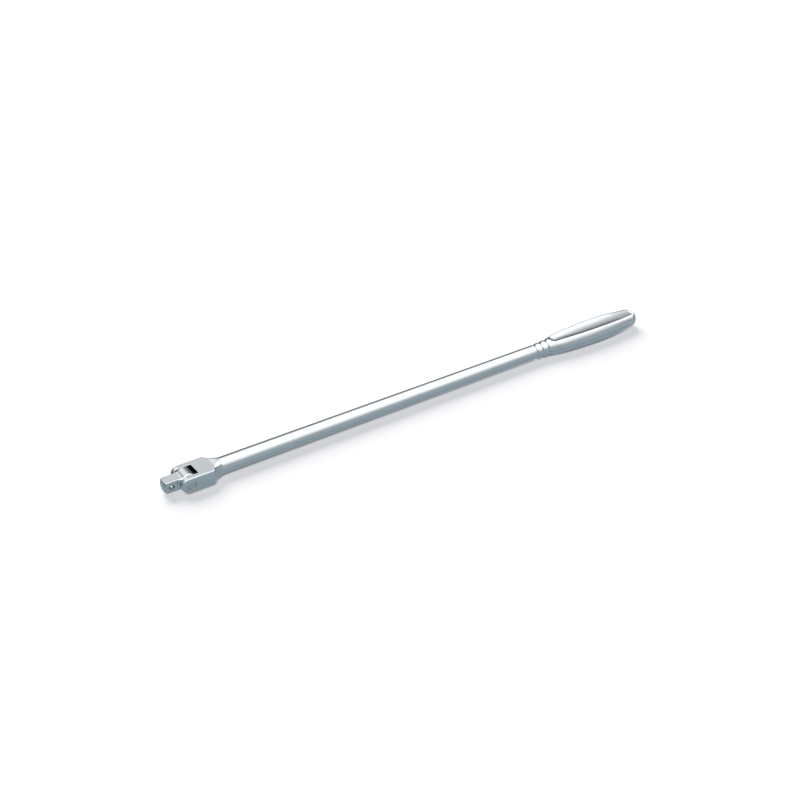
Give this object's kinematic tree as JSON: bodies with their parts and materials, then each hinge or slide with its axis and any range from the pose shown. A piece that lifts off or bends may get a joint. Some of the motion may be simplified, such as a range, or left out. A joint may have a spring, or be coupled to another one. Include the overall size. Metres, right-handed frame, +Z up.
{
  "type": "breaker bar",
  "caption": "Long one-piece steel turning bar with an oval grip, finger grooves and a forked end that holds a swivelling square drive.",
  "frame": {"origin": "middle of the bar's footprint, on the surface that it lies on", "axes": "+X along the bar from the square drive to the grip's end, +Y along the hinge pin away from the sprung ball, +Z up"},
  "size_m": [0.6, 0.03, 0.0189],
  "materials": {
    "satin_chrome": "satin chrome plating on forged steel",
    "ground_steel": "ground steel, riveted flush",
    "bearing_steel": "polished bearing steel",
    "spring_steel": "oiled spring wire"
  },
  "bodies": {
    "handle": {"handle_bar": "satin_chrome", "hinge_pin": "ground_steel", "swivel_spring": "spring_steel"},
    "head": {"drive_head": "satin_chrome", "drive_ball_spring": "spring_steel"},
    "drive_ball": {"drive_ball": "bearing_steel"},
    "swivel_ball": {"swivel_ball": "bearing_steel"}
  },
  "joints": [
    {"name": "drive_swivel", "type": "hinge", "parent": "handle", "child": "head", "pos_m": [-0.2745, 0, 0.00945], "axis": [0, 1, 0], "range_deg": [-110, 110]},
    {"name": "drive_ball_press", "type": "slide", "parent": "head", "child": "drive_ball", "axis": [0, 1, 0], "range_m": [0, 0.0007], "stiffness_N_per_m": 4000, "springref_m": -0.002, "deforming": ["drive_ball_spring"]},
    {"name": "swivel_ball_press", "type": "slide", "parent": "handle", "child": "swivel_ball", "axis": [1, 0, 0], "range_m": [0, 0.0006], "stiffness_N_per_m": 6000, "springref_m": -0.002, "deforming": ["swivel_spring"]}
  ]
}
